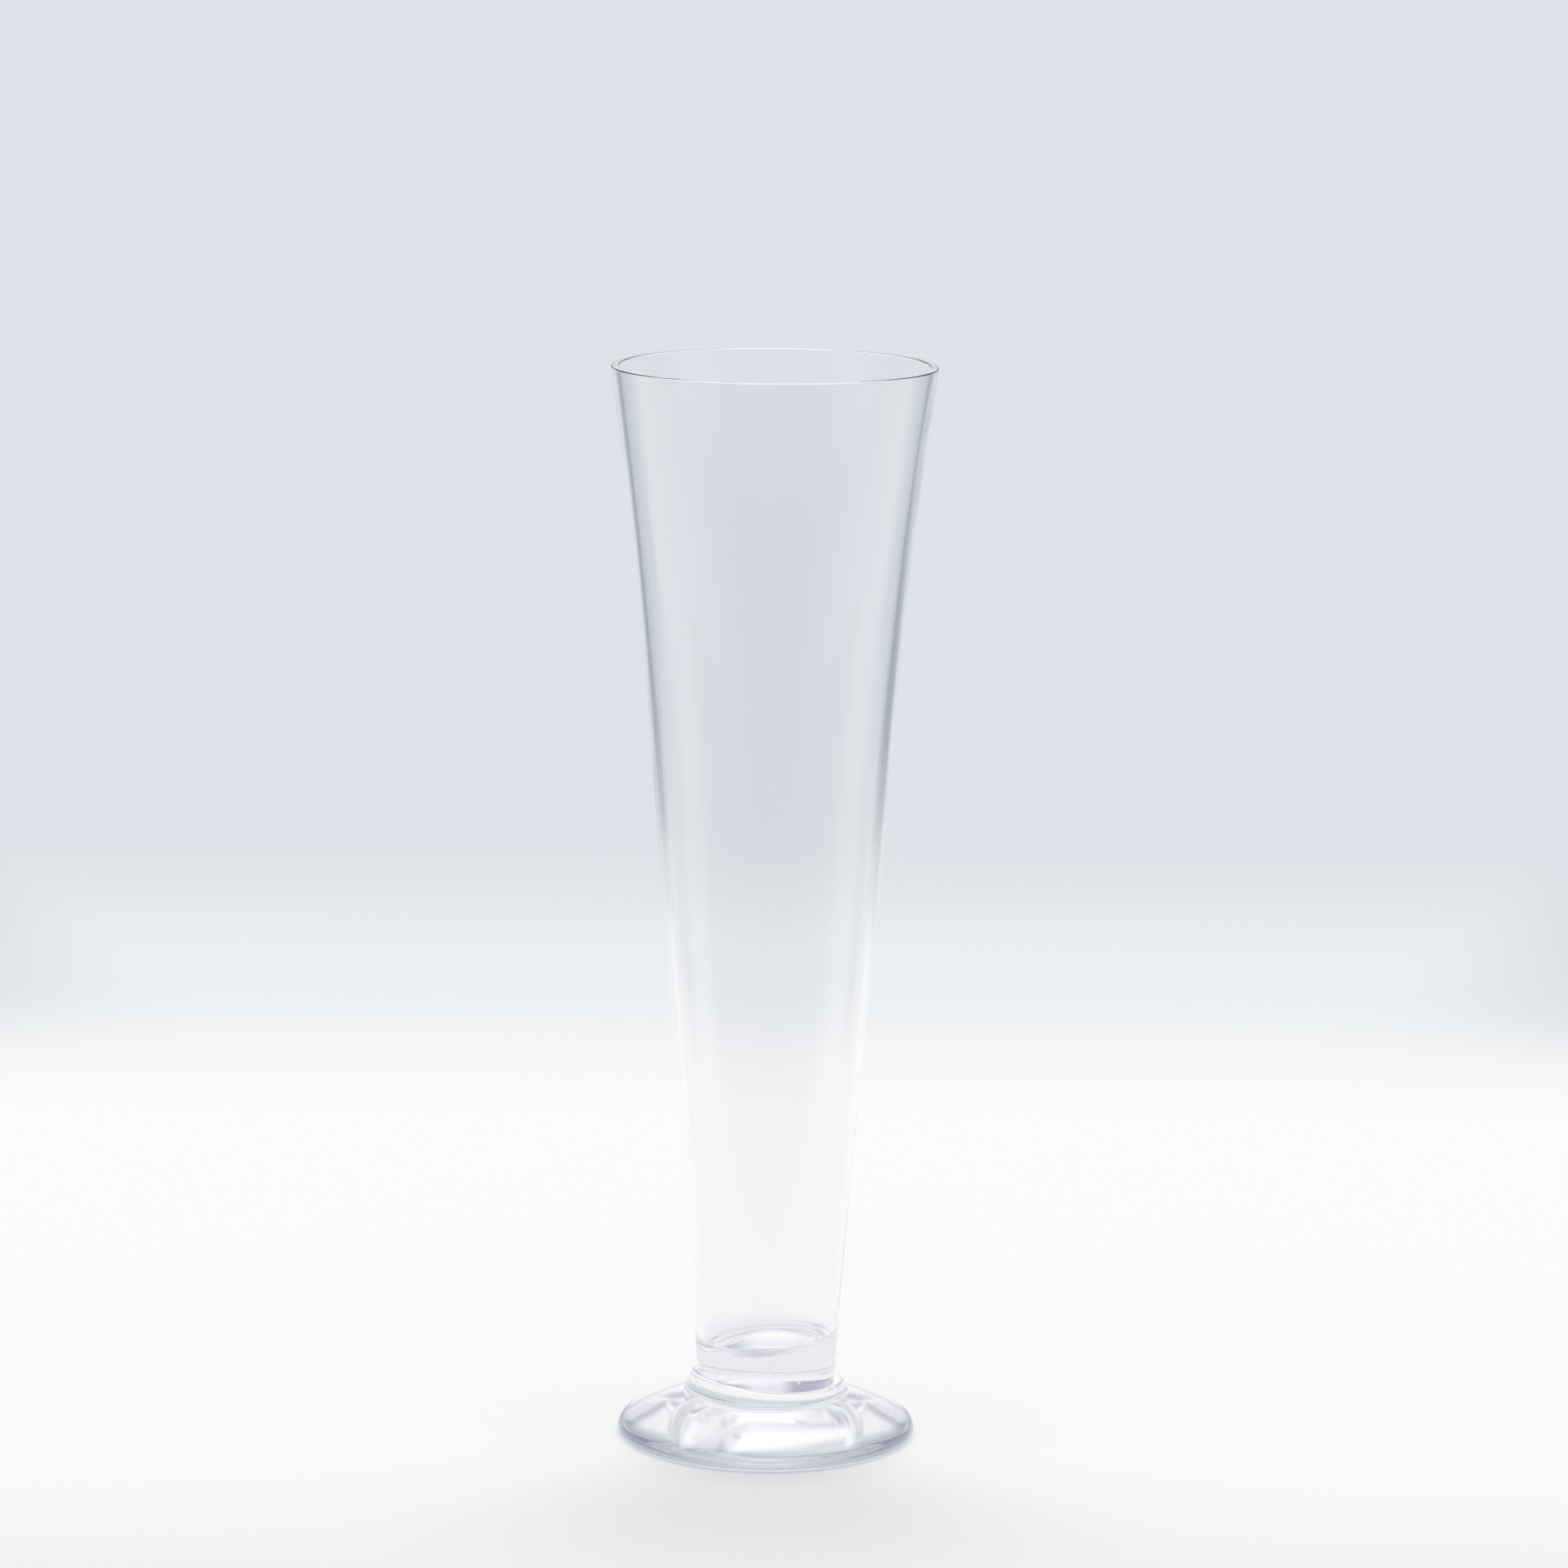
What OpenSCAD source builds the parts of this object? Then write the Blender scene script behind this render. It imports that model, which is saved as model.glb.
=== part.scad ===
// Tall footed flower vase of clear glass: a blown bowl that flares to a cut lip,
// a pressed collar that joins it, and a thick round foot that it stands on.
// Millimetres, +Z up, origin at the centre of the foot's resting ring.

/* [Overall] */
// Height from the table to the lip
vase_h = 500; // [470:5:560]
// Outside diameter of the lip
lip_d = 149; // [143:1:158]

/* [Bowl] */
// Outside diameter where the bowl meets the collar
bowl_bottom_d = 63.8; // [62:0.1:65]
// Outside diameter a fifth of the way up the bowl
bowl_low_d = 77.4; // [74:0.1:80]
// Outside diameter a little under half way up the bowl
bowl_middle_d = 98.4; // [94:0.1:102]
// Outside diameter two thirds of the way up the bowl
bowl_high_d = 114.4; // [110:0.1:118]
// Outside diameter where the lip starts to flare
bowl_flare_d = 131.2; // [126:0.1:136]
// Wall thickness at the lip
lip_wall = 3.7; // [3:0.1:4.5]
// Wall thickness just above the bowl's floor
low_wall = 4.3; // [3.5:0.1:5.5]
// Width and height of the small bevel on the lip's two edges
lip_bevel = 0.5; // [0.2:0.1:0.8]

/* [Bowl floor] */
// Height at which the hollow's wall begins to round in
hollow_end_z = 52; // [50:0.5:55]
// Height of the middle of the floor, before it is raised
floor_z = 42.7; // [41:0.1:44]
// Radius of the rounded corner between floor and wall
floor_corner_r = 7.5; // [6:0.5:9]
// Radius of the crease round the raised middle of the floor
floor_crease_r = 20.5; // [16:0.5:21]
// How far the middle of the floor stands above that crease
floor_dome_h = 4.5; // [2:0.1:6]
// Tilt of the floor, higher towards +X
floor_tilt = 5.5; // [0:0.5:6]

/* [Collar] */
// Height of the middle of the joint between bowl and collar
seam_z = 27.6; // [26:0.1:29]
// Tilt of that joint, lower towards +X
seam_tilt = 4.5; // [1:0.5:5]
// Widest diameter of the collar
collar_d = 74.6; // [71:0.2:78]
// Height of the collar's widest line above the foot
collar_widest_h = 1.2; // [0.8:0.1:1.6]
// Radius that the collar draws in below its widest line
collar_tuck = 0.4; // [0.2:0.1:0.8]

/* [Foot] */
// Widest diameter of the foot
foot_d = 138; // [134:1:146]
// Height of the joint between collar and foot
foot_top_z = 20.6; // [20:0.1:21]
// Height of the foot's widest line
foot_widest_z = 3.2; // [2.4:0.1:3.6]
// Radius of the rounded upper edge
foot_edge_r = 5.4; // [4.5:0.1:6]
// Angle that this edge turns through before the sloping top begins
foot_edge_turn = 62; // [56:1:68]
// How far the sloping top bulges above a straight cone
foot_crown = 0.8; // [0:0.1:1.5]
// Outside diameter of the ground ring that the vase stands on
rest_outer_d = 134; // [124:1:134]
// Inside diameter of that ring
rest_inner_d = 110; // [90:1:114]
// Depth of the shallow hollow under the foot
underside_h = 1.2; // [0.4:0.1:2]

/* [Hidden] */
$fn = 96;
glass_colour = [0.90, 0.94, 0.95, 0.45];
reach = 120;        // longer than half of any solid that the tilted joint cuts
wall_steps = 8;     // straight lengths between two stations of the bowl's outline
arc_steps = 12;     // straight lengths in a rounded stretch
skirt = 4;          // how far the bowl's outline runs on below the joint before the tilted cut
neck_step = 0.2;    // how far the collar's neck stands in from the bowl's outside
fillet_w = 1.2;     // width of the small fillet where the foot's top meets the collar
fillet_h = 0.9;     // height of the same fillet

// Heights at which the bowl's outside diameters are given, as shares of its height
station_share = [0, 0.20, 0.45, 0.68, 0.86, 1];
station_r = [bowl_bottom_d, bowl_low_d, bowl_middle_d, bowl_high_d, bowl_flare_d, lip_d] / 2;
bowl_h = vase_h - seam_z;
station_z = [for (share = station_share) seam_z + share * bowl_h];
last = len(station_z) - 1;

// Slope of the outline at station i, from its neighbours
function slope(i) =
    let (a = max(i - 1, 0), b = min(i + 1, last))
    (station_r[b] - station_r[a]) / (station_z[b] - station_z[a]);

// Outside radius of the bowl at t, from 0 to 1, between stations i and i + 1
function between(i, t) =
    let (step = station_z[i + 1] - station_z[i])
    station_r[i] * (2 * t ^ 3 - 3 * t ^ 2 + 1)
    + slope(i) * step * (t ^ 3 - 2 * t ^ 2 + t)
    + station_r[i + 1] * (3 * t ^ 2 - 2 * t ^ 3)
    + slope(i + 1) * step * (t ^ 3 - t ^ 2);

// Which stretch between stations holds height z
function stretch(z, i = 0) = i >= last - 1 || z < station_z[i + 1] ? i : stretch(z, i + 1);

function outer_r(z) =
    let (i = stretch(z))
    between(i, (z - station_z[i]) / (station_z[i + 1] - station_z[i]));

// The wall thins evenly from the floor to the lip
function wall(z) = low_wall + (lip_wall - low_wall) * (z - hollow_end_z) / (vase_h - hollow_end_z);
function inner_r(z) = outer_r(z) - wall(z);

function spread(low, high, steps) = [for (i = [0:steps]) low + (high - low) * i / steps];

// Points on a circle arc about centre, from angle a to angle b
function arc(centre, r, a, b) =
    [for (angle = spread(a, b, arc_steps)) centre + r * [cos(angle), sin(angle)]];

// Points on a quarter ellipse that is level at the point flat and upright at the point steep
function quarter(flat, steep) =
    [for (angle = spread(90, 0, arc_steps))
        [flat.x + (steep.x - flat.x) * cos(angle), steep.y + (flat.y - steep.y) * sin(angle)]];

// All space above the tilted joint of bowl and collar
module above_seam() translate([0, 0, seam_z]) rotate([0, seam_tilt, 0])
    translate([-reach, -reach, 0]) cube([2 * reach, 2 * reach, vase_h + reach]);

// The bowl's outside as a solid, with the lip's outer bevel
module bowl_outside() {
    heights = spread(seam_z, vase_h - lip_bevel, wall_steps * last);
    rotate_extrude() polygon(concat(
        [[0, seam_z - skirt], [outer_r(seam_z), seam_z - skirt]],
        [for (z = heights) [outer_r(z), z]],
        [[outer_r(vase_h) - lip_bevel, vase_h], [0, vase_h]]));
}

// The hollow before its floor is put in: a ball for its lower end, and the mouth's inner bevel
module hollow() {
    over = 1; // past the lip, so that the cut is clean
    mouth_r = inner_r(vase_h) + lip_bevel;
    heights = spread(hollow_end_z, vase_h - lip_bevel, wall_steps * last);
    rotate_extrude() polygon(concat(
        arc([0, hollow_end_z], inner_r(hollow_end_z), -90, 0),
        [for (i = [1:len(heights) - 1]) [inner_r(heights[i]), heights[i]]],
        [[mouth_r, vase_h], [mouth_r, vase_h + over], [0, vase_h + over]]));
}

// The solid glass under the hollow: a tilted flat floor with a rounded corner round it. The corner runs
// on into the wall, so that it and the ball end of the hollow cross cleanly.
module floor_block() {
    past_wall = 1;
    corner_x = inner_r(hollow_end_z) - floor_corner_r + past_wall;
    rotate_extrude() polygon(concat(
        [[0, -reach], [0, 0]],
        arc([corner_x, floor_corner_r], floor_corner_r, -90, 0),
        [[reach, floor_corner_r], [reach, -reach]]));
}

// A large ball under the floor: what shows of it inside the hollow is the low dome
module floor_dome() {
    dome_r = (floor_crease_r ^ 2 + floor_dome_h ^ 2) / (2 * floor_dome_h);
    translate([0, 0, floor_dome_h - dome_r]) sphere(dome_r);
}

module bowl() color(glass_colour) difference() {
    intersection() {
        bowl_outside();
        above_seam();
    }
    difference() {
        hollow();
        translate([0, 0, floor_z]) rotate([0, -floor_tilt, 0]) {
            floor_block();
            floor_dome();
        }
    }
}

// Pressed button of glass, widest near the foot. Its shoulder bulges out from the bowl's tilted end
// and loses that tilt on the way down, so it is blended through thin discs.
module collar() {
    disc_h = 0.05;
    neck_r = bowl_bottom_d / 2 - neck_step;
    widest = [collar_d / 2, foot_top_z + collar_widest_h];
    shoulder = quarter([neck_r, seam_z], widest);
    color(glass_colour) hull() {
        for (i = [0:arc_steps - 1])
            translate([0, 0, shoulder[i].y])
                rotate([0, seam_tilt * (1 - i / arc_steps), 0])
                    translate([0, 0, -disc_h]) cylinder(r = shoulder[i].x, h = disc_h);
        translate([0, 0, widest.y - disc_h]) cylinder(r = widest.x, h = disc_h);
        translate([0, 0, foot_top_z]) cylinder(r = widest.x - collar_tuck, h = disc_h);
    }
}

// Round foot: sloping top, rounded edge, and a shallow hollow inside the ring that it rests on
module foot() {
    foot_r = foot_d / 2;
    top_r = collar_d / 2 - collar_tuck;
    edge = arc([foot_r - foot_edge_r, foot_widest_z], foot_edge_r, 0, foot_edge_turn);
    slope_from = edge[arc_steps];
    slope_to = [top_r + fillet_w, foot_top_z - fillet_h];
    slope_points = [for (t = spread(0, 1, arc_steps))
        slope_from + t * (slope_to - slope_from) + [0, 4 * foot_crown * t * (1 - t)]];
    under_hollow = [for (t = spread(0, 1, arc_steps))
        [t * rest_inner_d / 2, underside_h * (1 - t * t) * (1 - t * t)]];
    under_edge = quarter([rest_outer_d / 2, 0], [foot_r, foot_widest_z]);
    color(glass_colour) rotate_extrude() polygon(concat(
        [for (i = [0:arc_steps]) under_hollow[i]],
        under_edge,
        [for (i = [1:arc_steps]) edge[i]],
        [for (i = [1:arc_steps]) slope_points[i]],
        [[top_r, foot_top_z], [0, foot_top_z]]));
}

bowl();
collar();
foot();
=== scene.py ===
"""The looks of a tall footed flower vase of clear glass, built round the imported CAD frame.

The bowl, the collar and the foot are fine lathed meshes that stand for the CAD nodes of the same names.
Their main radii and heights are read from those nodes. Lengths are in metres, and n * MM is n millimetres.
"""

import math
from collections import namedtuple

import bmesh
import bpy
from mathutils import Matrix, Vector
from mathutils.bvhtree import BVHTree

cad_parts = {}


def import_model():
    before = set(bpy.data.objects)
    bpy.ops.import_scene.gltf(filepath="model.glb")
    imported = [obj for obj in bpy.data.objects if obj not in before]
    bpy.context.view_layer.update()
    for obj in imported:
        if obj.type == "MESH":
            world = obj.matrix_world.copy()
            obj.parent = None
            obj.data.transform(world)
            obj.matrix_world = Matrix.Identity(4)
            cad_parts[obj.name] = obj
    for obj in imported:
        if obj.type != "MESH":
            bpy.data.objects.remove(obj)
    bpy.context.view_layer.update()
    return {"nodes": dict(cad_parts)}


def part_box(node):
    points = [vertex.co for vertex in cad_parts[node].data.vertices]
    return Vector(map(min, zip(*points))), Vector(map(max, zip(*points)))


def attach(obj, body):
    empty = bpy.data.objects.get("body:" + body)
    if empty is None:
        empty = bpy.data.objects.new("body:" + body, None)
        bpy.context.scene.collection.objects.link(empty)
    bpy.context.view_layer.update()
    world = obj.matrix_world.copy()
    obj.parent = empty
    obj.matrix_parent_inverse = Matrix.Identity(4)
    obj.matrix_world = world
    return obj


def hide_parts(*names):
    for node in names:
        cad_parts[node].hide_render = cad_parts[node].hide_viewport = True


MM = 0.001
BODY = "root"

# Sizes that can't be read from the CAD nodes by a ray
SEAM_TILT = math.radians(4.5)       # joint of bowl and collar, lower towards +X
FLOOR_TILT = math.radians(5.5)      # floor of the hollow, higher towards +X
FLOOR_Z = 42.7 * MM                 # its middle, before it is raised
HOLLOW_END_Z = 52 * MM              # where the hollow's wall begins to round in
CORNER_R = 7 * MM                   # round the floor
CREASE_R = 20.5 * MM                # crease round the raised middle of the floor
LIP_BEVEL = 0.5 * MM                # bevel of the lip's two edges
COLLAR_WIDEST_H = 1.2 * MM          # the collar's widest line above the foot
COLLAR_TUCK = 0.4 * MM              # how far it draws in below that line
NECK_STEP = 0.2 * MM                # the collar's neck stands in from the bowl's outside
FOOT_WIDEST_Z = 3.2 * MM
FOOT_EDGE_R = 5.4 * MM              # rounded upper edge of the foot
FOOT_EDGE_TURN = math.radians(62)   # angle that this edge turns through
FOOT_CROWN = 0.8 * MM               # how far the foot's top bulges above a straight cone
FILLET_W, FILLET_H = 1.2 * MM, 0.9 * MM     # between the foot's top and the collar
REST_OUTER_R, REST_INNER_R = 67 * MM, 55 * MM   # the ring that the vase stands on

# Small roundings of edges, measured along each side of the corner
SEAM_EDGE = 0.2 * MM                # lower edge of the bowl
LIP_EDGE = 0.3 * MM                 # edges of the lip's bevels
CREASE_EDGE = 0.6 * MM              # crease in the hollow's floor
COLLAR_EDGE = 0.25 * MM             # lower edge of the collar
FOOT_TOP_EDGE = 0.3 * MM            # top of the foot's fillet
PRESSED_Z = 1.3 * MM                # the foot's glass is a little rough below this height
GROUND_IN, GROUND_OUT = 61 * MM, 66 * MM    # rings on the flat of the ground ring
LEAN_END_Z = 60 * MM                # the joint's lean has died away in the wall at this height
EVEN_LENGTH = 30 * MM               # waves die away over this length at both ends of the wall

# Where bowl and collar are not quite fused: a thin film of air in front on the right, and round the edge
FUSED_HEART = (-8 * MM, 12 * MM)    # middle of the fused part of the joint
FUSED_SHARE = 0.92                  # how much of the way from there to the rim is fused
FILM_REACH = 0.78                   # how much more of that way the film takes where it is widest
FILM_AT = math.radians(-60)
FILM_TURN = math.radians(72)        # half of the angle that the wide part of the film covers
FILM_GAP = 0.15 * MM

# Bubbles as (angle in degrees, distance from the axis, height, radius, stretch up the wall); lengths in
# millimetres
BOWL_BUBBLES = (
    (-88.5, 29.0, 38.9, 0.55, 1.3), (-91.0, 29.2, 37.6, 0.4, 1), (-86.5, 29.4, 36.9, 0.5, 1.2),
    (-88.0, 28.6, 40.3, 0.35, 1), (-52.4, 29.0, 34.9, 0.5, 1), (-60.6, 30.0, 30.8, 0.9, 0.8),
    (-122.6, 30.5, 32.2, 0.45, 1), (-127.0, 30.0, 32.9, 0.3, 1), (-12.0, 30.2, 35.5, 0.6, 1.5),
    (-122.3, 36.0, 78.8, 0.45, 1), (-134.0, 35.6, 73.1, 0.3, 1), (-155.8, 65.5, 448.6, 0.4, 1),
    (-14.0, 31.4, 57.0, 0.55, 5), (-9.0, 31.6, 64.0, 0.4, 7), (-19.0, 31.2, 51.0, 0.45, 3))
FOOT_BUBBLES = (
    (-119.0, 34.6, 15.2, 0.3, 1), (-107.2, 37.0, 14.8, 0.3, 1), (-97.0, 40.8, 13.6, 0.25, 1),
    (-93.6, 43.5, 12.8, 0.3, 1), (-89.3, 46.0, 12.0, 0.25, 1), (-83.7, 45.4, 12.4, 0.3, 1),
    (-95.2, 42.2, 13.2, 0.2, 1))

# Hand-blown glass is not quite even: waves of the inner wall as (size, number round the axis, slant, start)
WAVES = (
    (0.12 * MM, 3, 6.0, 1.0), (0.07 * MM, 5, -9.0, 2.6), (0.03 * MM, 11, 14.0, 4.1),
    (0.012 * MM, 23, -20.0, 0.7))

SEGMENTS = 256                      # round the axis
WALL_RINGS = 84                     # up each side of the bowl's wall
CORNER_RINGS = 30                   # in the rounded corner of the hollow's floor
DOME_RINGS = 24
SHOULDER_RINGS = 28                 # down the collar's shoulder
UNDER_RINGS = 80                    # across the hollow under the foot
SLOPE_RINGS = 100                   # down the foot's sloping top
OUTLINE_SPANS = 12                  # stretches between the radii measured on the CAD

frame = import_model()
UP, DOWN, OUT, IN = Vector((0, 0, 1)), Vector((0, 0, -1)), Vector((1, 0, 0)), Vector((-1, 0, 0))
FAR = 1.0                           # outside the object on any side


def spread(low, high, steps):
    return [low + (high - low) * i / steps for i in range(steps + 1)]


def turned(r, z, angle):
    """The point at radius r and height z, turned round the axis."""
    return Vector((r * math.cos(angle), r * math.sin(angle), z))


# ---------------------------------------------------------------- measuring the CAD nodes
def cad_tree(node):
    """A CAD node's mesh as a tree that rays can be cast at."""
    mesh = frame["nodes"][node].data
    return BVHTree.FromPolygons([v.co for v in mesh.vertices], [p.vertices for p in mesh.polygons])


def hit(tree, start, direction):
    """Where a ray first meets the surface."""
    return tree.ray_cast(Vector(start), direction)[0]


class Outline:
    """A smooth curve of radius against height through radii measured on the CAD."""

    def __init__(self, radius_at, low, high, spans):
        self.low, self.step, self.spans = low, (high - low) / spans, spans
        self.radii = [radius_at(z) for z in spread(low, high, spans)]
        ends = [(max(i - 1, 0), min(i + 1, spans)) for i in range(spans + 1)]
        self.slopes = [(self.radii[b] - self.radii[a]) / (b - a) for a, b in ends]

    def __call__(self, z):
        place = (z - self.low) / self.step
        i = min(max(int(place), 0), self.spans - 1)
        t = place - i
        return (self.radii[i] * (2 * t**3 - 3 * t**2 + 1) + self.slopes[i] * (t**3 - 2 * t**2 + t)
                + self.radii[i + 1] * (3 * t**2 - 2 * t**3) + self.slopes[i + 1] * (t**3 - t**2))


# ---------------------------------------------------------------- lathe
# A station is one ring of a lathed surface. seam and floor say how much it takes of each tilt, wave how
# much of the waviness of hand-worked glass, joint is its place on the joint of bowl and collar, or -1,
# and slot is the material of the band that it starts.
Station = namedtuple("Station", "r z seam floor wave joint slot", defaults=(0, 0, 0, -1, 0))
GLASS, JOINT, PRESSED = 0, 1, 2


def fillet(before, corner, after, size, steps=5):
    """A corner of an outline, rounded over a length of size on each side, as (r, z) points."""
    corner = Vector(corner)
    start = corner + (Vector(before) - corner).normalized() * size
    end = corner + (Vector(after) - corner).normalized() * size
    return [tuple(start.lerp(corner, t).lerp(corner.lerp(end, t), t)) for t in spread(0, 1, steps)]


def quarter(flat, steep, steps):
    """Points on a quarter ellipse that is level at the point flat and upright at the point steep."""
    return [(flat[0] + (steep[0] - flat[0]) * math.sin(a), steep[1] + (flat[1] - steep[1]) * math.cos(a))
            for a in spread(0, math.pi / 2, steps)]


def arc(centre, radius, start, end, steps):
    return [(centre[0] + radius * math.cos(a), centre[1] + radius * math.sin(a))
            for a in spread(start, end, steps)]


def add_bubble(bm, angle, away, height, radius, stretch):
    """A small closed void in the glass."""
    centre = Matrix.Translation(turned(away * MM, height * MM, math.radians(angle)))
    shape = centre @ Matrix.Scale(stretch, 4, UP)
    sphere = bmesh.ops.create_icosphere(bm, subdivisions=3, radius=radius * MM, matrix=shape)
    faces = {face for v in sphere["verts"] for face in v.link_faces}
    bmesh.ops.reverse_faces(bm, faces=list(faces))
    for face in faces:
        face.smooth = True


def wave(angle, z):
    """How far the hand-worked wall stands out from its even shape."""
    return sum(size * math.sin(number * angle + slant * z + start) for size, number, slant, start in WAVES)


def seam_point(radius, share, angle):
    """A point on the joint: 0 in the middle of the fused part, 1 where the film begins, 2 at the rim."""
    heart = Vector(FUSED_HEART)
    rim = turned(radius, 0, angle).to_2d()
    turn = (angle - FILM_AT + math.pi) % math.tau - math.pi
    fused = FUSED_SHARE - FILM_REACH * max(1 - (turn / FILM_TURN) ** 4, 0)
    edge = heart.lerp(rim, fused)
    return heart.lerp(edge, share) if share < 1 else edge.lerp(rim, share - 1)


def seam_stations(z):
    """Both sides of the joint are cut up alike, from the middle to the rim."""
    fused = [Station(share, z, joint=share, slot=JOINT) for share in (0, 0.25, 0.5, 0.75)]
    return fused + [Station(1, z, joint=share) for share in (1, 1.1, 1.25, 1.4, 1.6, 1.75, 1.9, 1.97)]


def lathe(name, stations, place, materials, bubbles=()):
    """A closed mesh from stations that run from axis to axis: below, up the outside and over the top."""
    bm = bmesh.new()
    rings = []
    for s in stations:
        around = 1 if s.r < 1e-7 else SEGMENTS
        rings.append([bm.verts.new(place(s, math.tau * i / SEGMENTS)) for i in range(around)])
    for s, below, above in zip(stations, rings, rings[1:]):
        for i in range(SEGMENTS):
            j = (i + 1) % SEGMENTS
            if len(below) == 1:
                corners = (below[0], above[j], above[i])
            elif len(above) == 1:
                corners = (below[i], below[j], above[0])
            else:
                corners = (below[i], below[j], above[j], above[i])
            face = bm.faces.new(corners)
            face.material_index = s.slot
            face.smooth = True
    for bubble in bubbles:
        add_bubble(bm, *bubble)
    mesh = bpy.data.meshes.new(name)
    bm.to_mesh(mesh)
    bm.free()
    for m in materials:
        mesh.materials.append(m)
    piece = bpy.data.objects.new(name, mesh)
    bpy.context.scene.collection.objects.link(piece)
    return piece


# ---------------------------------------------------------------- materials
WHITE = (1.0, 1.0, 1.0)
WALL_GLASS = (0.978, 0.98, 0.985)
# Painted shade: lavender-grey for the thick bottom of the bowl, standing in for dim surroundings seen
# through it
THICK_PAINTED_SHADE = (0.88, 0.87, 0.93)
# Painted shade: blue-grey that darkens the foot's rounded edge
EDGE_PAINTED_SHADE = (0.52, 0.56, 0.62)
THICK_Z, WALL_Z = 42 * MM, 50 * MM          # the bowl's painted lavender shade fades into the wall's own faint tint between these heights
CLEAR_R, EDGE_R = 63 * MM, 67 * MM          # the foot's painted blue-grey shade deepens between these radii
GLASS_IOR = 1.5
PRESSED_ROUGHNESS = 0.09


class Tree:
    """Short ways to add nodes to a material's or a world's node tree."""

    def __init__(self, owner):
        owner.use_nodes = True
        self.nodes, self.links = owner.node_tree.nodes, owner.node_tree.links

    def put(self, socket, value):
        """Link a socket, or set a plain value."""
        if isinstance(value, bpy.types.NodeSocket):
            self.links.new(value, socket)
        else:
            socket.default_value = value

    def math(self, operation, *values):
        """The result of one Math node."""
        node = self.nodes.new("ShaderNodeMath")
        node.operation = operation
        for socket, value in zip(node.inputs, values):
            self.put(socket, value)
        return node.outputs[0]

    def ramp(self, value, low, high, stops):
        """Colours at places between low and high, as (place, colour) stops."""
        span = self.nodes.new("ShaderNodeMapRange")
        for name, number in (("Value", value), ("From Min", low), ("From Max", high)):
            self.put(span.inputs[name], number)
        node = self.nodes.new("ShaderNodeValToRGB")
        node.color_ramp.interpolation = "EASE"
        elements = node.color_ramp.elements
        while len(elements) < len(stops):
            elements.new(0.5)
        for element, (place, colour) in zip(elements, stops):
            element.position = (place - low) / (high - low)
            element.color = (*colour, 1)
        self.links.new(span.outputs["Result"], node.inputs["Fac"])
        return node.outputs["Color"]

    def mix(self, blend, amount, a, b):
        """Colours a and b mixed. Sockets 0, 6 and 7 and output 2 are the Mix node's colour ones."""
        node = self.nodes.new("ShaderNodeMix")
        node.data_type, node.blend_type = "RGBA", blend
        self.put(node.inputs[0], amount)
        for socket, value in ((node.inputs[6], a), (node.inputs[7], b)):
            self.put(socket, value if isinstance(value, bpy.types.NodeSocket) else (*value, 1))
        return node.outputs[2]

    def away(self, x, y):
        """Distance from the axis."""
        squares = [self.math("MULTIPLY", side, side) for side in (x, y)]
        return self.math("SQRT", self.math("ADD", *squares))

    def aside(self, x, y):
        """Degrees to either side of straight back, so 180 is straight in front."""
        return self.math("MULTIPLY", self.math("ARCTAN2", self.math("ABSOLUTE", x), y), 180 / math.pi)

    def xyz(self, coordinates):
        """The three parts of one kind of texture coordinates."""
        where = self.nodes.new("ShaderNodeTexCoord")
        split = self.nodes.new("ShaderNodeSeparateXYZ")
        self.put(split.inputs[0], where.outputs[coordinates])
        return split.outputs


def glass(name, roughness):
    """Clear glass with nothing in it."""
    m = bpy.data.materials.new(name)
    tree = Tree(m)
    shader = tree.nodes["Principled BSDF"]
    shader.inputs["Base Color"].default_value = (*WHITE, 1)
    shader.inputs["Roughness"].default_value = roughness
    shader.inputs["IOR"].default_value = GLASS_IOR
    shader.inputs["Transmission Weight"].default_value = 1
    return m


def blown_glass():
    """The bowl's glass: nearly colourless in the thin wall, with painted shade in the thick bottom: a faint
    lavender tint that stands in for the dim surroundings seen through it.
    """
    m = glass("blown_glass", 0)
    tree = Tree(m)
    _, _, z = tree.xyz("Object")
    # Painted shade below THICK_Z, fading into the wall's own faint tint by WALL_Z
    tint_and_painted_shade = tree.ramp(z, 0.0, 0.1, ((THICK_Z, THICK_PAINTED_SHADE), (WALL_Z, WALL_GLASS)))
    tree.put(tree.nodes["Principled BSDF"].inputs["Base Color"], tint_and_painted_shade)
    return m


def shaded_edge_glass():
    """The foot's glass: colourless, with painted shade in the thick edge: a blue-grey tint there stands in
    for the darkness that the rounded edge shows.
    """
    m = glass("foot_glass", 0)
    tree = Tree(m)
    x, y, _ = tree.xyz("Object")
    # Painted shade: the foot's glass turns blue-grey beyond CLEAR_R
    tint_and_painted_shade = tree.ramp(tree.away(x, y), 0.0, 0.1, ((CLEAR_R, WHITE), (EDGE_R, EDGE_PAINTED_SHADE)))
    tree.put(tree.nodes["Principled BSDF"].inputs["Base Color"], tint_and_painted_shade)
    return m


def fused_joint():
    """Faces where two pieces were joined hot. Nothing shows there, because the glass runs on through."""
    m = bpy.data.materials.new("fused_joint")
    m.use_nodes = True
    nodes = m.node_tree.nodes
    nodes.remove(nodes["Principled BSDF"])
    shader = nodes.new("ShaderNodeBsdfTransparent")
    m.node_tree.links.new(shader.outputs[0], nodes["Material Output"].inputs["Surface"])
    return m


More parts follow.
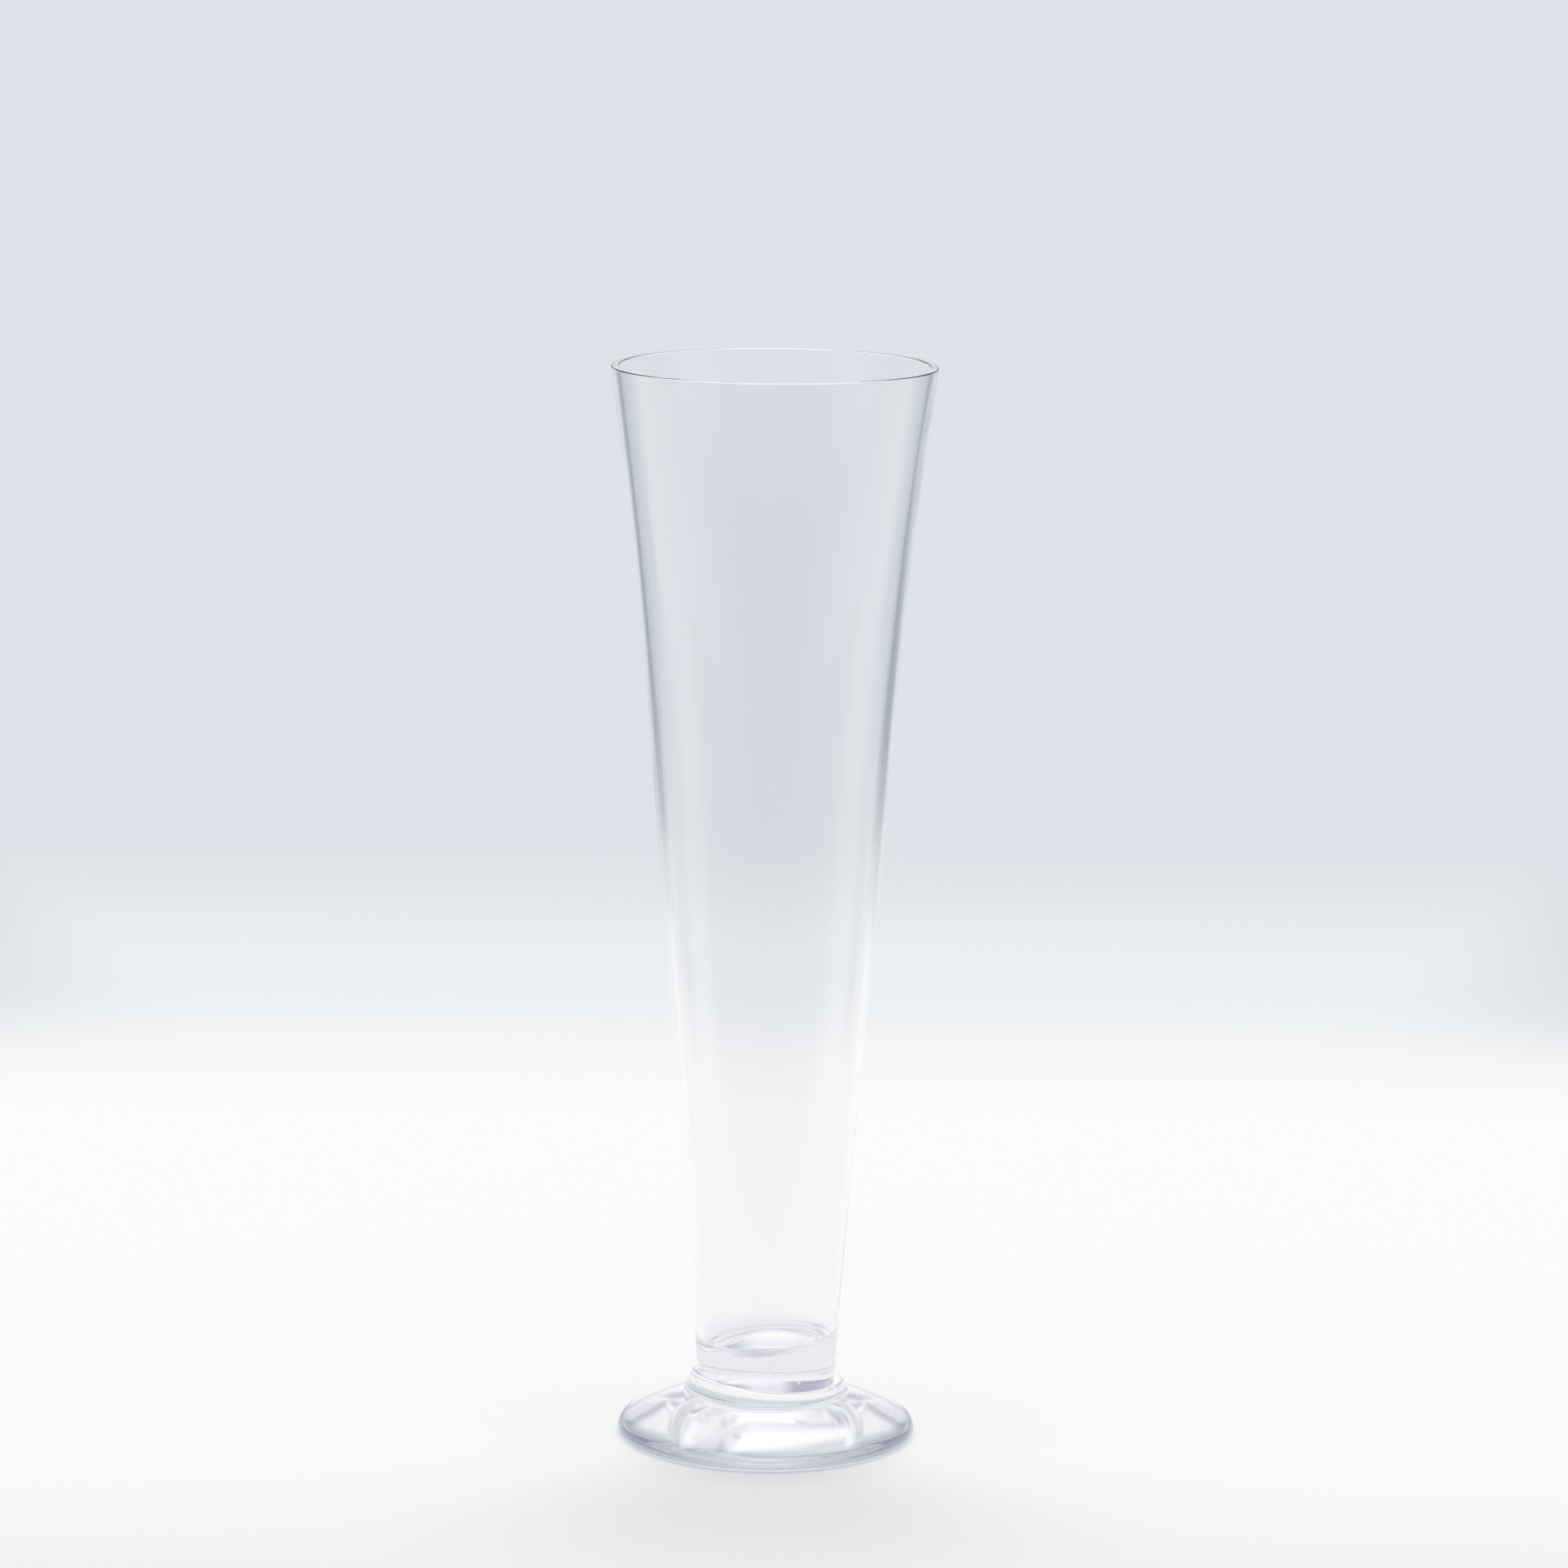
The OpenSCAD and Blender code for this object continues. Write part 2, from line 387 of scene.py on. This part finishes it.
# ---------------------------------------------------------------- the three pieces
def bowl_piece(materials):
    tree = cad_tree("bowl")
    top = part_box("bowl")[1].z
    seam_z = hit(tree, (0, 0, 0), UP).z
    dome_top = hit(tree, (0, 0, top), DOWN).z
    rim_z = top - LIP_BEVEL
    outer = Outline(lambda z: hit(tree, (FAR, 0, z), IN).x, seam_z + 4 * MM, rim_z, OUTLINE_SPANS)
    inner = Outline(lambda z: hit(tree, (0, 0, z), OUT).x, HOLLOW_END_Z, rim_z, OUTLINE_SPANS)
    wall_top = rim_z - 0.5 * MM

    # The joint, and up the outside
    bottom_r = outer(seam_z)
    bottom_edge = [(0, seam_z), (bottom_r, seam_z), (outer(seam_z + 5 * MM), seam_z + 5 * MM)]
    stations = seam_stations(seam_z)
    stations += [Station(r, z, seam=1) for r, z in fillet(*bottom_edge, SEAM_EDGE)]
    for z in spread(seam_z + 1 * MM, wall_top, WALL_RINGS):
        lean = min(max((LEAN_END_Z - z) / (LEAN_END_Z - seam_z), 0), 1)
        stations.append(Station(outer(z), z, seam=lean))

    # Over the lip, and down the inside
    below_z = rim_z - 5 * MM
    outline = [
        (outer(below_z), below_z), (outer(rim_z), rim_z), (outer(rim_z) - LIP_BEVEL, top),
        (inner(rim_z) + LIP_BEVEL, top), (inner(rim_z), rim_z), (inner(below_z), below_z)]
    for before, corner, after in zip(outline, outline[1:], outline[2:]):
        stations += [Station(r, z) for r, z in fillet(before, corner, after, LIP_EDGE)]
    for z in spread(wall_top, HOLLOW_END_Z, WALL_RINGS):
        uneven = min((rim_z - z) / EVEN_LENGTH, (z - HOLLOW_END_Z) / EVEN_LENGTH, 1)
        stations.append(Station(inner(z), z, wave=uneven))

    # The floor: its corner is an arc that touches both the ball end of the hollow and the flat
    ball_r = inner(HOLLOW_END_Z)
    dome_h = dome_top - FLOOR_Z
    dome_r = (CREASE_R**2 + dome_h**2) / (2 * dome_h)
    drop = HOLLOW_END_Z - FLOOR_Z - CORNER_R
    corner_x = math.sqrt((ball_r - CORNER_R) ** 2 - drop**2)
    corner_angle = -math.asin(drop / (ball_r - CORNER_R))
    dome_angle = math.asin(CREASE_R / dome_r)
    corner = arc((corner_x, FLOOR_Z + CORNER_R), CORNER_R, corner_angle, -math.pi / 2, CORNER_RINGS)
    dome = arc((0, dome_top - dome_r), dome_r, math.pi / 2 - dome_angle, math.pi / 2, DOME_RINGS)
    crease = fillet(corner[-1], (CREASE_R, FLOOR_Z), dome[1], CREASE_EDGE)
    tilt_rings = 12                 # rings over which the wall takes on the floor's tilt
    stations += [Station(r, z, floor=min(i / tilt_rings, 1)) for i, (r, z) in enumerate(corner)]
    stations += [Station(r, z, floor=1) for r, z in crease]
    stations += [Station(max(r, 0), z, floor=1) for r, z in dome[1:-1]]
    stations.append(Station(0, dome_top, floor=1))

    def place(s, angle):
        if s.joint >= 0:
            x, y = seam_point(bottom_r - SEAM_EDGE, s.joint, angle)
            gap = FILM_GAP * math.sin(math.pi * max(s.joint - 1, 0))
            return Vector((x, y, s.z - x * math.tan(SEAM_TILT) + gap))
        z = s.z - s.r * math.cos(angle) * math.tan(SEAM_TILT) * s.seam
        r = s.r * outer(z) / outer(s.z) if s.seam else s.r + s.wave * wave(angle, z)
        p = turned(r, z, angle)
        if s.floor:
            middle = Vector((0, 0, FLOOR_Z))
            p = middle + Matrix.Rotation(-FLOOR_TILT * s.floor, 3, "Y") @ (p - middle)
        return p

    return lathe("bowl_glass", stations, place, materials, BOWL_BUBBLES)


def collar_piece(materials):
    bowl_tree, collar_box = cad_tree("bowl"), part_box("collar")
    seam_z = hit(bowl_tree, (0, 0, 0), UP).z
    neck_r = hit(bowl_tree, (FAR, 0, seam_z), IN).x - NECK_STEP
    base_z, widest_r = collar_box[0].z, collar_box[1].x
    widest = (widest_r, base_z + COLLAR_WIDEST_H)
    base = (widest_r - COLLAR_TUCK, base_z)
    shoulder = quarter((neck_r, seam_z), widest, SHOULDER_RINGS)
    stations = [Station(base[0] * t, base_z, slot=JOINT) for t in (0, 0.3, 0.7, 0.985)]
    stations += [Station(r, z) for r, z in fillet((0, base_z), base, widest, COLLAR_EDGE)]
    stations.append(Station(*widest))
    for i, (r, z) in reversed(list(enumerate(shoulder[1:-1], 1))):
        stations.append(Station(r, z, seam=1 - i / SHOULDER_RINGS))
    stations.append(Station(neck_r, seam_z, seam=1))
    top = seam_stations(seam_z)[::-1]
    stations += [below._replace(slot=above.slot) for below, above in zip(top, top[1:])] + top[-1:]

    def place(s, angle):
        if s.joint >= 0:
            x, y = seam_point(neck_r, s.joint, angle)
            return Vector((x, y, s.z - x * math.tan(SEAM_TILT)))
        z = s.z - s.r * math.cos(angle) * math.tan(SEAM_TILT * s.seam)
        return turned(s.r, z, angle)

    return lathe("collar_glass", stations, place, materials)


def foot_piece(materials):
    tree = cad_tree("foot")
    low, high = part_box("foot")
    foot_r, top_z = high.x, high.z
    joint_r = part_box("collar")[1].x - COLLAR_TUCK
    under_z = hit(tree, (0, 0, -FAR), UP).z
    edge = arc((foot_r - FOOT_EDGE_R, FOOT_WIDEST_Z), FOOT_EDGE_R, 0, FOOT_EDGE_TURN, 24)
    slope_from, slope_to = edge[-1], (joint_r + FILLET_W, top_z - FILLET_H)
    slope = []
    for t in spread(0, 1, SLOPE_RINGS):
        r = slope_from[0] + t * (slope_to[0] - slope_from[0])
        z = slope_from[1] + t * (slope_to[1] - slope_from[1]) + 4 * FOOT_CROWN * t * (1 - t)
        slope.append((r, z))
    under_edge = quarter((REST_OUTER_R, low.z), (foot_r, FOOT_WIDEST_Z), 14)

    outline = [(REST_INNER_R * t, under_z * (1 - t * t) ** 2) for t in spread(0, 1, UNDER_RINGS)]
    outline += [(GROUND_IN, low.z), (GROUND_OUT, low.z)]
    outline += under_edge
    outline += edge[1:]
    outline += slope[1:-1]
    outline += fillet(slope[-2], slope_to, (joint_r, top_z), FOOT_TOP_EDGE)
    stations = [Station(r, z, slot=PRESSED if z < PRESSED_Z else GLASS) for r, z in outline]
    stations += [Station(joint_r * t, top_z, slot=JOINT) for t in (1, 0.97, 0.6, 0.2, 0)]
    return lathe("foot_glass", stations, lambda s, angle: turned(s.r, s.z, angle), materials, FOOT_BUBBLES)


# ---------------------------------------------------------------- stage, light and camera
FLOOR_R = 40.0
PAPER_GAP = 0.1 * MM                # glass never quite touches the paper that it stands on
GLOW = 0.65                         # share of the paper's light that is its own, as on a lit table
SKY_STRENGTH = 1.1
CAMERA_PLACE = (0, -2.7546, 0.8054)
CAMERA_PITCH, CAMERA_ROLL, CAMERA_YAW = 0.1789, 0.0094, 0.0021     # radians
CAMERA_LENS, CAMERA_SENSOR = 140.1, 36      # these two are in millimetres
FLOOR_NEAR = (1.0, 1.0, 0.995)
# Painted shadow of the foot on the paper in front of it
FLOOR_SHADE = (0.79, 0.80, 0.81)
# Painted light on the paper under the foot, brighter than white, and a painted contact shadow under the
# foot's edge
PAPER_UNDER_PAINTED_LIGHT = (1.08, 1.08, 1.09)
FLOOR_CONTACT_SHADE = (0.84, 0.86, 0.90)
FLOOR_MIDDLE = (0.87, 0.89, 0.905)
FLOOR_BACK = (0.745, 0.785, 0.825)
FLOOR_FRONT = (0.45, 0.46, 0.48)
FLOOR_GAP = (0.50, 0.53, 0.58)
HORIZON = (0.60, 0.635, 0.67)
SKY_EDGE = (0.45, 0.45, 0.54)
SKY_COOL = (0.80, 0.87, 1.0)
SKY_WARM = (1.0, 0.91, 0.84)
SKY_SWEEP = (0.80, 0.82, 0.85)
SKY_GAP = (0.46, 0.48, 0.51)
SKY_FRONT = (0.40, 0.42, 0.46)


def grey(level):
    return (level, level, level)


def floor():
    """A pale sweep: white under the vase, cooler far behind it, darker to the sides and in front, with
    painted light under the foot, a painted contact shadow under its edge and a painted shadow in front of
    it.
    """
    bpy.ops.mesh.primitive_circle_add(vertices=128, radius=FLOOR_R, fill_type="NGON")
    plane = bpy.context.object
    plane.name = "floor"
    plane.location.z = -PAPER_GAP
    m = bpy.data.materials.new("floor_paper")
    tree = Tree(m)
    shader = tree.nodes["Principled BSDF"]
    shader.inputs["Roughness"].default_value = 0.9
    shader.inputs["Specular IOR Level"].default_value = 0
    x, y, _ = tree.xyz("Object")
    away, aside = tree.away(x, y), tree.aside(x, y)
    sweep = tree.ramp(y, -1.4, 2.0, (
        (-1.3, FLOOR_FRONT), (-0.25, grey(0.91)), (-0.04, FLOOR_NEAR), (0.62, FLOOR_NEAR),
        (1.0, FLOOR_MIDDLE), (1.5, FLOOR_BACK)))
    gap = tree.ramp(aside, 0.0, 180.0, ((20, WHITE), (31, FLOOR_GAP), (50, FLOOR_GAP), (72, WHITE)))
    gap_reach = tree.ramp(away, 0.0, 8.0, ((0.8, grey(0)), (1.6, WHITE), (4.0, WHITE), (8.0, grey(0))))
    # Painted shadow in front of the foot: dark near its edge, fading out, kept to the front by in_front
    shade = tree.ramp(away, 0.0, 0.4, ((0.072, FLOOR_SHADE), (0.10, (0.85, 0.855, 0.86)), (0.28, WHITE)))
    in_front = tree.ramp(aside, 0.0, 180.0, ((105, grey(0)), (170, WHITE)))
    # Painted light under the foot, then a painted contact shadow ring under its edge
    contact_light_and_shade = tree.ramp(away, 0.0, 0.2, (
        (0.062, PAPER_UNDER_PAINTED_LIGHT), (0.066, FLOOR_CONTACT_SHADE), (0.068, FLOOR_CONTACT_SHADE), (0.071, WHITE)))
    colour = tree.mix("MULTIPLY", gap_reach, sweep, gap)
    colour = tree.mix("MULTIPLY", in_front, colour, shade)
    colour = tree.mix("MULTIPLY", 1.0, colour, contact_light_and_shade)
    tree.put(shader.inputs["Base Color"], tree.mix("MULTIPLY", 1.0, colour, grey(1 - GLOW)))
    tree.put(shader.inputs["Emission Color"], colour)
    shader.inputs["Emission Strength"].default_value = GLOW
    plane.data.materials.append(m)


def world():
    """Soft light all round, with dim gaps beside the sweep and between the sweep and the lights."""
    w = bpy.data.worlds.new("studio")
    bpy.context.scene.world = w
    tree = Tree(w)
    x, y, z = tree.xyz("Generated")
    height = tree.math("MULTIPLY", tree.math("ARCSINE", z), 180 / math.pi)
    aside = tree.aside(x, y)
    behind = tree.ramp(height, 0.0, 90.0, (
        (3, HORIZON), (7, WHITE), (13, WHITE), (18, SKY_SWEEP),
        (24, SKY_COOL), (28, SKY_WARM), (33, WHITE)))
    beside = tree.ramp(height, 0.0, 90.0, (
        (1, HORIZON), (4, SKY_GAP), (9, WHITE), (12, WHITE),
        (17, SKY_EDGE), (21, SKY_EDGE), (28, SKY_SWEEP), (60, WHITE)))
    in_front = tree.ramp(height, 0.0, 90.0, (
        (2, SKY_FRONT), (14, SKY_SWEEP), (34, SKY_FRONT), (70, WHITE)))
    to_side = tree.ramp(aside, 0.0, 180.0, ((6, grey(0)), (19, WHITE)))
    to_front = tree.ramp(aside, 0.0, 180.0, ((110, grey(0)), (150, WHITE)))
    light = tree.mix("MIX", to_front, tree.mix("MIX", to_side, behind, beside), in_front)
    seen = tree.nodes.new("ShaderNodeLightPath").outputs["Is Camera Ray"]
    sky = tree.nodes["Background"]
    tree.put(sky.inputs["Color"], tree.mix("MIX", seen, light, HORIZON))
    sky.inputs["Strength"].default_value = SKY_STRENGTH


def camera():
    """At the photograph's viewing angle: 2.75 m in front, 0.8 m up, looking a little down."""
    data = bpy.data.cameras.new("camera")
    data.lens, data.sensor_width = CAMERA_LENS, CAMERA_SENSOR
    cam = bpy.data.objects.new("camera", data)
    turn = Matrix.Rotation(-CAMERA_YAW, 4, "Z")
    turn @= Matrix.Rotation(math.pi / 2 - CAMERA_PITCH, 4, "X")
    turn @= Matrix.Rotation(CAMERA_ROLL, 4, "Z")
    cam.matrix_world = Matrix.Translation(CAMERA_PLACE) @ turn
    bpy.context.scene.collection.objects.link(cam)
    bpy.context.scene.camera = cam


joint = fused_joint()
for node, make, materials in (
        ("bowl", bowl_piece, (blown_glass(), joint)),
        ("collar", collar_piece, (glass("clear_glass", 0), joint)),
        ("foot", foot_piece, (shaded_edge_glass(), joint, glass("pressed_glass", PRESSED_ROUGHNESS)))):
    piece = make(materials)
    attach(piece, BODY)
    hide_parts(node)

floor()
world()
camera()
bpy.context.scene.view_settings.view_transform = "Standard"
bpy.context.scene.cycles.max_bounces = 128
bpy.context.scene.cycles.transmission_bounces = 128
bpy.context.scene.cycles.glossy_bounces = 128
bpy.context.scene.cycles.transparent_max_bounces = 256
